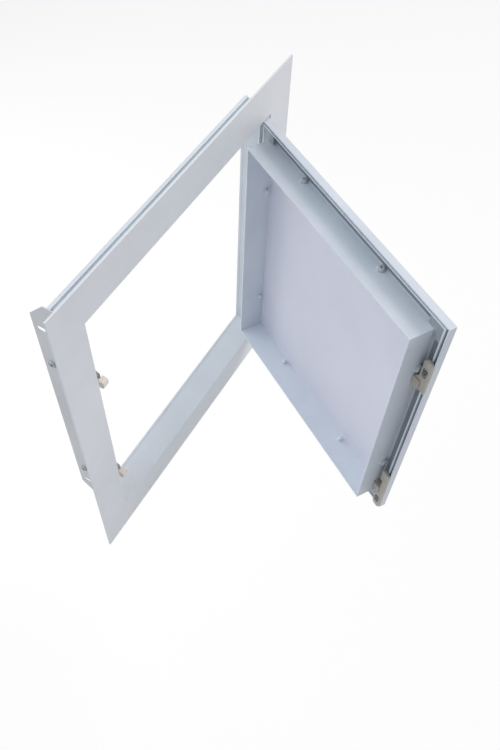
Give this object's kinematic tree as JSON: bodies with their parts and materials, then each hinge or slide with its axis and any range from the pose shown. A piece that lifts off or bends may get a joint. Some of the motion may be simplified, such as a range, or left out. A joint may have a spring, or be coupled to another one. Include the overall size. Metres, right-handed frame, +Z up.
{
  "type": "access panel",
  "caption": "Square wall access panel: a mitred flanged frame and a tray-backed door leaf on pivot pins, standing half open to show its spring latches.",
  "frame": {"origin": "middle of the lower flange's back face, which bears on the wall", "axes": "+X to the right along the wall, +Y into the wall, +Z up"},
  "size_m": [0.36, 0.2856, 0.36],
  "materials": {
    "frame_coating": "satin powder coat, white",
    "rail_coating": "satin powder coat, white",
    "face_sheet": "satin powder coat, white",
    "corner_key": "mill finish",
    "plate_coating": "satin",
    "pin_steel": "drawn",
    "latch_plastic": "moulded",
    "plunger_plastic": "moulded",
    "keeper_plastic": "moulded"
  },
  "bodies": {
    "frame": {"frame_bottom_bar": "frame_coating", "frame_left_bar": "frame_coating", "frame_top_bar": "frame_coating", "frame_right_bar": "frame_coating", "frame_bottom_left_key": "corner_key", "frame_top_left_key": "corner_key", "frame_top_right_key": "corner_key", "frame_bottom_right_key": "corner_key", "upper_hinge_pin": "pin_steel", "lower_hinge_pin": "pin_steel", "latch_plate": "plate_coating", "upper_latch_housing": "latch_plastic", "lower_latch_housing": "latch_plastic"},
    "door_leaf": {"door_bottom_rail": "rail_coating", "door_free_rail": "rail_coating", "door_top_rail": "rail_coating", "door_hinge_rail": "rail_coating", "door_bottom_left_key": "corner_key", "door_top_left_key": "corner_key", "door_top_right_key": "corner_key", "door_bottom_right_key": "corner_key", "upper_hinge_block": "corner_key", "lower_hinge_block": "corner_key", "door_face_sheet": "face_sheet", "upper_keeper": "keeper_plastic", "lower_keeper": "keeper_plastic"},
    "upper_plunger": {"upper_latch_plunger": "plunger_plastic"},
    "lower_plunger": {"lower_latch_plunger": "plunger_plastic"}
  },
  "joints": [
    {"name": "door_hinge", "type": "hinge", "parent": "frame", "child": "door_leaf", "pos_m": [0.1381, 0.0023, 0.1645], "axis": [0, 0, 1], "range_deg": [-58.2, 36.8]},
    {"name": "upper_plunger_slide", "type": "slide", "parent": "frame", "child": "upper_plunger", "axis": [0, 1, 0], "range_m": [0, 0.0025], "stiffness_N_per_m": 400, "springref_m": -0.004},
    {"name": "lower_plunger_slide", "type": "slide", "parent": "frame", "child": "lower_plunger", "axis": [0, 1, 0], "range_m": [0, 0.0025], "stiffness_N_per_m": 400, "springref_m": -0.004}
  ]
}
